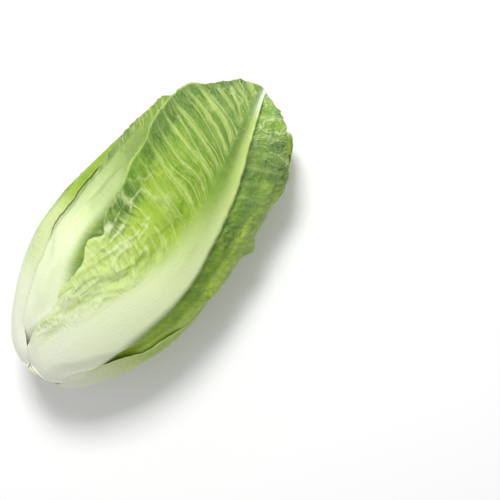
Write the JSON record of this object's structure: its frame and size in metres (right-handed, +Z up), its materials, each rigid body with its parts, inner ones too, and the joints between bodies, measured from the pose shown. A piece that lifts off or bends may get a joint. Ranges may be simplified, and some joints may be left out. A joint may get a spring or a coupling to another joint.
{
  "type": "romaine heart",
  "caption": "Cut romaine lettuce heart lying on its side: ribbed, ruffled leaves nested round a short stem.",
  "frame": {"origin": "middle of the bottom of the heart's box, on the surface that it lies on", "axes": "+X from the cut butt to the leaf tips, +Z up, +Y to the left as seen from above"},
  "size_m": [0.1878, 0.0948, 0.075],
  "materials": {
    "outer_leaf": "satin, waxy green leaf with a pale rib",
    "front_leaf": "satin, waxy green leaf, blistered between pale veins",
    "pale_leaf": "satin, whitish leaf with a broad ridged rib",
    "inner_leaf": "satin, yellow-green leaf",
    "stem": "moist, cut, whitish"
  },
  "bodies": {
    "root": {"leaf_outer_right": "outer_leaf", "leaf_outer_left": "outer_leaf", "leaf_front": "front_leaf", "leaf_left": "pale_leaf", "leaf_behind_tip": "front_leaf", "leaf_back": "outer_leaf", "leaf_under_front": "inner_leaf", "leaf_inner_1": "inner_leaf", "leaf_inner_2": "inner_leaf", "leaf_inner_3": "inner_leaf", "leaf_inner_4": "inner_leaf", "leaf_inner_5": "inner_leaf", "leaf_inner_6": "inner_leaf", "leaf_inner_7": "inner_leaf", "stem": "stem"}
  },
  "joints": []
}
